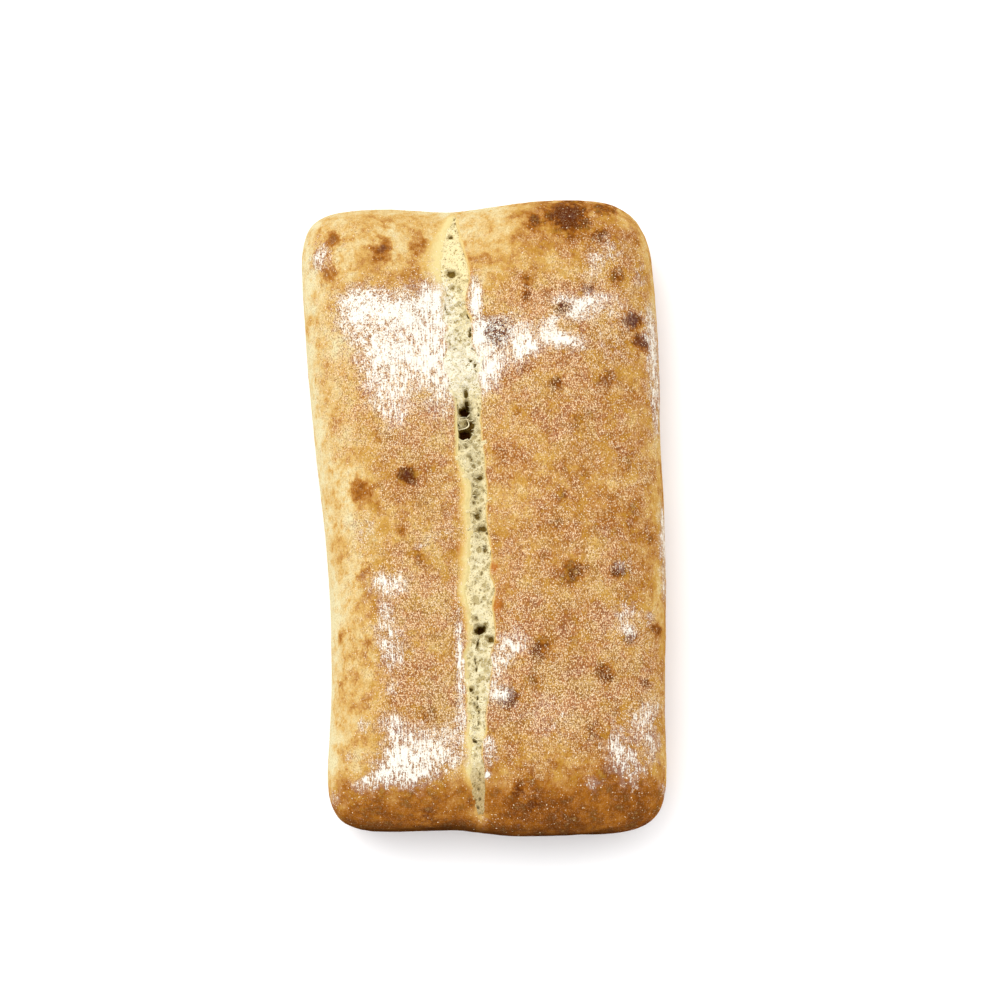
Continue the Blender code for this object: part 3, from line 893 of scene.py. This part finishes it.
crumb = {
    "columns": 66,
    "rows": 900,
    "ends": (-115.5, 116.5),
    "margin": 1.6,                   # it reaches this far under the crust
    "edgeDepth": 0.45,
    "sag": 0.75,
    "shallow": ((102, 15, 0.85), (52, 6, 0.5)),
    "thickness": 11,
    "waves": ((0.22, (2.6, 3.4, 1), 1.1), (0.3, (6, 8, 1), 6.1)),
    "bubbles": 2200,
    "bubbleSizes": (0.22, 1.15),
    "bubbleDepth": 0.6,
    "bubblePush": 0.45,
    "holePush": ((0.42, 1.3), (0.22, 0.6)),
    "seed": 21,
    "webSlope": 0.55,
}

# threads across the slash: along, height, thickness
webs = (
    (68, 0.9, 0.8), (49, 0.7, 2.2), (57, 0.7, 1.8), (41, 0.4, 0.6), (25, 0.9, 0.55), (20.8, 1.3, 0.65),
    (12.8, 1, 0.6), (-0.4, 1.2, 0.55), (-6.6, 1.2, 0.55), (-18.5, 0.7, 0.9), (-26.5, 0.5, 0.8), (-40, 0.4, 1),
    (-48, 0.5, 0.6), (-62, 0.4, 0.8), (-78, 0.4, 0.7), (-90, 0.3, 0.8),
)

# parts of the crumb that lie deeper: along, off the line, spread along, spread across, depth
hollows = (
    (83.4, -0.7, 2.2, 1.8, 0.5), (76, -2, 2.5, 2.5, 0.35), (63, 0.5, 3, 2.4, 0.5), (38, -0.5, 4.5, 3.2, 0.9),
    (30, -0.2, 4.5, 3.4, 1), (22.6, -1.8, 1.6, 2.2, 0.8), (16.5, 0.6, 2.6, 2.2, 1.2), (9, 2.2, 2.4, 1.8, 1),
    (3.5, 0.6, 2.6, 2.2, 0.9), (-3.5, -0.2, 2, 2, 1.2), (-9.2, 1.4, 2, 2, 1.1), (-14, 0.4, 3, 2, 0.4),
    (-30, 1.5, 4, 2, 0.3), (-46, 0.5, 3, 2.6, 0.5), (-60, -1, 5, 2, 0.4), (-76, 0, 5, 1.6, 0.4),
)

# holes: along, off the slash's line, half length, half width, depth
holes = (
    (112, -0.4, 0.5, 0.4, 1), (110.4, 0.2, 0.4, 0.4, 1), (104.2, -1.2, 0.9, 1.1, 2.2),
    (98.7, 0.9, 0.5, 0.4, 0.8), (97.4, 0.6, 0.5, 0.3, 0.8), (93.8, -0.4, 0.4, 0.4, 0.6),
    (89.1, -0.9, 1.7, 2, 2.6), (91.8, -3.4, 0.8, 0.5, 0.8), (83.4, -0.7, 1.2, 1, 0.9),
    (86, 1.2, 1.2, 0.35, 1), (75.6, -4.1, 1.1, 0.45, 1.4), (75.6, -1.8, 0.5, 1.1, 1), (76.4, 0.4, 0.6, 1, 1),
    (72, 4.3, 0.9, 0.5, 1.8), (73.4, -2.8, 0.5, 0.9, 0.9), (65.2, 3.9, 1.5, 0.5, 2.4), (67, 4.3, 0.6, 0.4, 2),
    (63, 1.8, 0.9, 0.9, 0.8), (61.5, -4.3, 0.8, 0.6, 1), (59.3, 4.6, 0.45, 1, 2), (57.2, 6, 0.9, 0.6, 2.2),
    (54.9, 2.9, 0.6, 0.7, 1.8), (53.3, 4.3, 1.1, 0.5, 2), (50.8, 4.3, 0.7, 0.5, 1.2),
    (47, 1.4, 0.8, 1.2, 0.8), (42.6, -0.2, 1.7, 0.7, 2.6), (39, -0.1, 1.7, 1.1, 5), (36, -1.3, 2.1, 2, 7),
    (34.5, 4, 0.5, 0.4, 2.2), (30.9, 0.9, 2.4, 1.5, 4), (27.6, -1.5, 2.2, 2.5, 7), (31, -3.4, 0.9, 0.6, 2.4),
    (22, -3.6, 1.1, 0.7, 1.2), (22.1, -1.4, 0.5, 0.6, 1.3), (23.2, 1.6, 0.5, 0.5, 1.2),
    (17.6, 0.3, 1.5, 0.6, 1.2), (14.5, 0.9, 0.8, 0.8, 0.7), (12.9, -1.5, 0.4, 0.4, 1),
    (10.8, 2.4, 0.9, 1.6, 3), (11.4, 0.1, 0.5, 0.5, 1.5), (7.9, -0.2, 0.6, 0.3, 1), (5.2, 0.7, 0.6, 0.4, 1),
    (4.4, 1.2, 0.4, 0.5, 0.9), (5.7, 3.3, 0.6, 0.4, 0.9), (3.6, -0.2, 0.9, 0.7, 1.5), (1.4, -1, 1, 0.7, 1.5),
    (-1.7, 1.2, 0.5, 0.5, 1.4), (-3.9, -0.1, 1.5, 1.3, 2), (-8.4, 1.4, 1, 1.7, 2.4), (-10.1, 3, 0.7, 0.5, 2),
    (-11.6, -0.7, 0.4, 0.8, 1), (-16.3, 1.8, 1.5, 0.8, 1.8), (-19.6, -3, 0.6, 0.5, 0.8),
    (-20.6, -2, 0.5, 0.5, 0.8), (-21, 1, 0.8, 0.4, 0.8), (-23.2, -1.1, 0.4, 0.3, 0.8),
    (-25.3, 0.2, 0.8, 0.3, 0.9), (-30.3, 2.7, 1.2, 0.5, 0.9), (-31.5, -0.2, 0.4, 0.4, 1.1),
    (-36.3, 0.1, 0.5, 0.4, 1), (-36.1, 2.6, 0.8, 0.4, 0.8), (-38.2, 3, 1, 1, 0.6),
    (-41.6, -1.5, 0.8, 0.5, 1.2), (-46, -0.1, 1.6, 1.8, 5), (-49.8, 4.1, 1.3, 1.2, 2.6),
    (-51.4, -0.6, 1.9, 0.3, 1.8), (-51.9, -3.3, 0.6, 0.6, 1), (-57.3, -1.2, 1.1, 0.35, 1.6),
    (-60.7, -0.7, 1.2, 0.4, 1.8), (-67, -0.2, 0.5, 0.5, 1.2), (-68.2, -2.6, 0.9, 0.9, 2.8),
    (-69.4, -1.7, 0.5, 0.4, 1.8), (-71.6, -0.2, 1.1, 0.25, 1.5), (-73.6, -1.2, 0.6, 0.5, 1.2),
    (-74.4, 0, 0.6, 0.4, 1.4), (-76.6, 0.6, 0.8, 0.4, 1.5), (-80.6, 0.5, 1.1, 0.35, 1.2),
    (-82.8, 0.5, 0.4, 0.5, 1.3), (-87.2, -0.6, 0.7, 1.1, 2.6), (-89.5, 1.6, 0.5, 0.4, 0.8),
    (-92.4, -0.1, 0.6, 0.8, 0.7), (-98.8, 0.8, 0.5, 0.35, 0.8), (-101.2, 0.8, 0.4, 0.4, 1),
    (-104.6, 0.2, 0.7, 0.4, 1), (-107.8, 0.4, 0.6, 0.6, 1.3), (-108.1, -1.2, 0.4, 0.4, 1),
    (-110.8, -0.6, 0.5, 0.5, 1.3),
)


def crumbDepth(offLine, edgeShare, along):
    # depth under the crown, how much of it is a hole (which sets the painted shade in it), how deep it lies
    # between the threads, and its bubbles
    depth = crumb["edgeDepth"] + crumb["sag"] * (1 - np.clip(edgeShare**2, 0, 1))
    shallow = bumps(along, crumb["shallow"]) + 0.45 * fade(-along, 55, 40)
    depth *= 1 - shallow
    place = np.stack([offLine, along, np.zeros_like(offLine)], axis=1)
    depth += noises(place, crumb["waves"]) * (1 - 0.7 * shallow)
    bend = 0.9 * softNoise(place, 3.2, 3.3)
    for alongAt, height, thick in webs:
        lean = along - crumb["webSlope"] * offLine + bend
        depth -= height * bump(lean, alongAt, thick) * ease(1.3 - 0.3 * edgeShare**2)
    for alongAt, offAt, long, wide, deep in hollows:
        depth += deep * bump(along, alongAt, long) * bump(offLine, offAt, wide)
    sunk = np.copy(depth)
    # round bubbles of many sizes, cut open
    draw = np.random.default_rng(crumb["seed"])
    small, large = crumb["bubbleSizes"]
    pits = np.zeros_like(depth)
    offAway = offLine + crumb["bubblePush"] * softNoise(place, 1.1, 4.1)
    alongAway = along + crumb["bubblePush"] * softNoise(place, 1.1, 8.1)
    for _ in range(crumb["bubbles"]):
        radius = small + (large - small) * draw.random() ** 3.2
        offAt, alongAt = draw.uniform(-6.5, 6.5), draw.uniform(-114, 114)
        stretch = draw.uniform(0.8, 1.3)
        near = np.nonzero(np.abs(alongAway - alongAt) < radius * stretch)[0]
        away = ((offAway[near] - offAt) ** 2 + ((alongAway[near] - alongAt) / stretch) ** 2) / radius**2
        pits[near] = np.maximum(pits[near], radius * np.sqrt(np.maximum(0, 1 - away)))
    pits *= 1 - 0.6 * shallow
    depth += pits * crumb["bubbleDepth"]
    # the holes, their outlines pushed about so that none is round
    (large, largeSize), (small, smallSize) = crumb["holePush"]
    pushOff = noises(place, ((large, largeSize, 2.9), (small, smallSize, 5.5)))
    pushAlong = noises(place, ((large, largeSize, 7.9), (small, smallSize, 9.5)))
    cavity = np.zeros_like(depth)
    for alongAt, offAt, halfLong, halfWide, deep in holes:
        size = min(1, (halfLong + halfWide) / 1.6)
        away = ((along - alongAt + pushAlong * size) / halfLong) ** 2
        away += ((offLine - offAt + pushOff * size) / halfWide) ** 2
        shadedPit = np.exp(-(away**1.8) / 1.3)
        depth += deep * shadedPit
        # painted shade: the deeper the hole, the darker its colour
        cavity = np.maximum(cavity, shadedPit * min(0.95, 0.26 + 0.09 * deep))
    return depth, cavity, sunk, pits / 0.55


def makeCrumb():
    piece, mesh, start = addSheet("crumb", crumbMaterial(), crumb["columns"], crumb["rows"], 1)
    row = np.interp(start[:, 1], [-1, 1], crumb["ends"])
    edge = tornEdge(row, start[:, 0])
    column = start[:, 0] * (edge + crumb["margin"] * slashRunOut(row))
    across, along, nearest = plan(column, row, 0)
    fall = fallOff(nearest)
    offLine = across - slashLine(along)
    share = np.abs(offLine) / np.maximum(edge, 0.3)
    depth, cavity, sunk, bubble = crumbDepth(offLine, share, along)
    depth = np.where(start[:, 2] < -0.5, crumb["thickness"], depth)
    height = rim + (crownHeight(across, along) - rim) * fall - depth * ease(fall * 1.6)
    places = np.stack([across, along, height], axis=1) - middle
    writePlaces(mesh, places * mm)
    x, y, _ = places.T
    warm = 0.4 * ease(softNoise(places, (5, 9, 5), 7.7) + 0.3)
    toast = 0.7 * fade(share, 0.6, 0.4) + warm + fade(y, 72, 18)
    keepOnMesh(
        mesh, cavity=cavity, sunk=sunk, bubble=bubble, toast=np.clip(toast, 0, 1),
        baked=0.85 * fade(-y, 91, 13), flour=1 - np.exp(-0.8 * patchSum(x, y, flourPatches)))
    mesh.shade_smooth()
    return piece


crumbPiece = makeCrumb()
print("crumb made", len(crumbPiece.data.polygons))


# torn threads of crumb

threads = {
    "count": 150,
    "spread": (8, 62),               # most lie in this stretch of the slash
    "spreadShare": 0.7,
    "elsewhere": (-96, 84),
    "widthShare": 0.9,
    "lengths": (0.9, 3.4),
    "turns": (-1.1, 1.1),
    "radii": (0.10, 0.21),
    "thinEnds": 0.45,
    "lift": (0.15, 0.7),
    "sideBend": 0.35,                # of the length
    "rings": 10,
    "sides": 6,
    "openHole": 0.45,                # threads over deeper holes are left out
    "seed": 33,
    "flap": ((28.6, -3.6, 0.3), (33.8, -0.9, 0.1), 0.26),   # the torn loop's two ends and radius
    "flapBends": (0.42, -0.42),
}


def onCrumb(offLine, along, above):
    # a place above the crumb, in millimetres
    across = slashLine(along) + offLine
    share = np.abs(offLine) / np.maximum(tornEdge(along, offLine), 0.3)
    sunk = crumbDepth(offLine, share, along)[2]
    return np.stack([across, along, crownHeight(across, along) - sunk + above], axis=1) - middle


def makeThreads():
    # thin bent threads, thickest half way, both ends sunk in the crumb
    draw = np.random.default_rng(threads["seed"])
    shape = bmesh.new()
    bmesh.ops.create_cone(shape, cap_ends=True, segments=threads["sides"], radius1=1, radius2=1, depth=1)
    upright = [edge for edge in shape.edges if abs(edge.verts[0].co.z - edge.verts[1].co.z) > 0.5]
    bmesh.ops.subdivide_edges(shape, edges=upright, cuts=threads["rings"] - 1, use_grid_fill=True)
    shape.verts.index_update()
    outline = np.array([vert.co[:] for vert in shape.verts])
    runs = [(*threads["flap"], bend) for bend in threads["flapBends"]]
    for _ in range(threads["count"]):
        low, high = threads["spread"] if draw.random() < threads["spreadShare"] else threads["elsewhere"]
        along = draw.uniform(low, high)
        half = threads["widthShare"] * float(tornEdge(along, -1))
        off = draw.uniform(-half, half)
        length, turn = draw.uniform(*threads["lengths"]), draw.uniform(*threads["turns"])
        stop = float(np.clip(off + length * math.cos(turn), -half, half))
        bend = draw.uniform(-threads["sideBend"], threads["sideBend"])
        end = (along + length * math.sin(turn), stop, 0)
        runs.append(((along, off, 0), end, draw.uniform(*threads["radii"]), bend))
    ends = np.array([run[:2] for run in runs])
    centres = ends.mean(axis=1)
    openHole = crumbDepth(centres[:, 1], centres[:, 1] * 0, centres[:, 0])[1] > threads["openHole"]
    openHole[:len(threads["flapBends"])] = False
    starts, stops = (onCrumb(ends[:, i, 1], ends[:, i, 0], ends[:, i, 2]) for i in (0, 1))
    share = outline[:, 2] + 0.5
    rise = np.sin(np.pi * share)
    places = []
    for number in np.nonzero(~openHole)[0]:
        _, _, radius, bend = runs[number]
        length = np.linalg.norm(stops[number] - starts[number])
        ahead = unit(stops[number] - starts[number])
        aside = unit(np.cross(ahead, (0, 0, 1)))
        up = np.cross(aside, ahead)
        lift = draw.uniform(*threads["lift"])
        path = starts[number] + np.outer(share * length, ahead) + np.outer(rise * lift, up)
        path += np.outer(rise * bend * length, aside)
        thick = radius * (threads["thinEnds"] + (1 - threads["thinEnds"]) * rise)[:, None]
        places.append(path + thick * (np.outer(outline[:, 0], aside) + np.outer(outline[:, 1], up)))
    piece = joinCopies(shape, np.array(places), "crumb_threads", threadMaterial())
    piece.data.shade_smooth()
    return piece


threadPiece = makeThreads()
print("threads made", len(threadPiece.data.polygons))


# loose flour

grains = {
    "count": 24500,
    "halfLength": (0.14, 0.36),
    "narrowness": (0.45, 0.9),
    "flatness": (0.35, 0.7),
    "buried": 0.35,                  # of a grain's half height
    "sparse": 0.04,                  # where there is next to no dust
    "inDust": 0.9,
    "inPatches": 1.6,
    "clumping": 0.9,
    "seed": 12,
}


def quadCorners(mesh):
    # the four points of each four-sided face
    totals, starts = (readAll(mesh.polygons, key, kind=np.int32) for key in ("loop_total", "loop_start"))
    points = readAll(mesh.loops, "vertex_index", kind=np.int32)
    return points[starts[totals == 4][:, None] + np.arange(4)]


def makeGrains(under):
    # flour grains lying on the crust, thickest where its dust and its patches are
    draw = np.random.default_rng(grains["seed"])
    count, mesh = grains["count"], under.data
    quads = quadCorners(mesh)
    places = readAll(mesh.vertices, "co", 3)[quads] / mm
    normals = np.cross(places[:, 2] - places[:, 0], places[:, 3] - places[:, 1])
    areas = np.linalg.norm(normals, axis=1)
    normals /= np.maximum(areas, 1e-9)[:, None]
    dust, flour, scorch = (
        readAll(mesh.attributes[name].data, "value")[quads].mean(axis=1) for name in ("dust", "flour", "scorch"))
    thick = grains["sparse"] + grains["inDust"] * np.maximum(dust, 0) ** 1.5 + grains["inPatches"] * flour
    clumps = 1 + grains["clumping"] * softNoise(places.mean(axis=1), (7, 9, 7), 2.6)
    # fewer grains where the front's underside is painted dark with shade and browning
    thick *= np.maximum(0.1, clumps) * ease((normals[:, 2] + 0.1) / 0.6) * areas * (1 - scorch)
    chosen = draw.choice(len(quads), size=count, p=thick / thick.sum())
    first, second = draw.random(count)[:, None], draw.random(count)[:, None]
    corner = places[chosen]
    centres = (corner[:, 0] * (1 - first) + corner[:, 1] * first) * (1 - second)
    centres += (corner[:, 3] * (1 - first) + corner[:, 2] * first) * second
    up = normals[chosen]
    turn = draw.uniform(0, 2 * np.pi, count)
    ahead = unit(np.cross(up, np.stack([np.cos(turn), np.sin(turn), np.zeros_like(turn)], axis=1)))
    aside = np.cross(ahead, up)
    small, large = grains["halfLength"]
    length = small + (large - small) * draw.random(count) ** 2
    width = length * draw.uniform(*grains["narrowness"], count)
    height = width * draw.uniform(*grains["flatness"], count)
    axes = np.stack([aside * length[:, None], ahead * width[:, None], up * height[:, None]], axis=1)
    centres += up * (height * (1 - 2 * grains["buried"]))[:, None]
    shape = bmesh.new()
    bmesh.ops.create_uvsphere(shape, u_segments=4, v_segments=2, radius=1)
    outline = np.array([vert.co[:] for vert in shape.verts])
    copies = centres[:, None, :] + np.einsum("pk,nkj->npj", outline, axes)
    piece = joinCopies(shape, copies, "flour_grains", flourMaterial())
    keepOnMesh(piece.data, flour=np.repeat(flour[chosen], len(outline)))
    return piece


grainPiece = makeGrains(crustPiece)
print("flour made", len(grainPiece.data.polygons))


# stage: floor, light and camera

floorLook = {"size": 3, "colour": (0.93, 0.93, 0.935, 1), "roughness": 0.9}


def makeStage():
    bm = bmesh.new()
    bmesh.ops.create_grid(bm, x_segments=1, y_segments=1, size=floorLook["size"])
    floor = bpy.data.objects.new("floor", toMesh(bm, "floor"))
    sockets = {"Base Color": floorLook["colour"], "Roughness": floorLook["roughness"]}
    floor.data.materials.append(Nodes("plainFloor").finish(sockets))
    bpy.context.scene.collection.objects.link(floor)
    world = bpy.data.worlds.new("studio")
    world.use_nodes = True
    world.node_tree.nodes["Background"].inputs["Color"].default_value = (1, 1, 1, 1)
    world.node_tree.nodes["Background"].inputs["Strength"].default_value = light["world"]
    bpy.context.scene.world = world
    data = bpy.data.lights.new("softbox", "AREA")
    data.size = light["keySize"]
    data.energy = light["key"]
    lamp = bpy.data.objects.new("softbox", data)
    lamp.location = light["keyPlace"]
    lamp.rotation_euler = (-Vector(light["keyPlace"])).to_track_quat("-Z", "Y").to_euler()
    bpy.context.scene.collection.objects.link(lamp)


cameraSetup = {
    "elevation": 80,
    "distance": 1.3,
    "roll": 1.75,
    "lens": 123.9,
    "aimRight": 0.0053,
    "aimUp": 0.0066,
    "aimHeight": 0.02,
}


def makeCamera():
    tilt = math.radians(cameraSetup["elevation"])
    back = Vector((0, -math.cos(tilt), math.sin(tilt)))
    right = Vector((1, 0, 0))
    up = back.cross(right)
    turn = math.radians(cameraSetup["roll"])
    right, up = right * math.cos(turn) - up * math.sin(turn), right * math.sin(turn) + up * math.cos(turn)
    target = right * cameraSetup["aimRight"] + up * cameraSetup["aimUp"]
    target.z += cameraSetup["aimHeight"]
    data = bpy.data.cameras.new("camera")
    data.lens = cameraSetup["lens"]
    data.clip_start = 0.05
    camera = bpy.data.objects.new("camera", data)
    axes = Matrix((right, up, back)).transposed().to_4x4()
    camera.matrix_world = Matrix.Translation(target + back * cameraSetup["distance"]) @ axes
    bpy.context.scene.collection.objects.link(camera)
    bpy.context.scene.camera = camera


makeStage()
makeCamera()
bpy.context.scene.view_settings.view_transform = "Standard"
print("stage set")
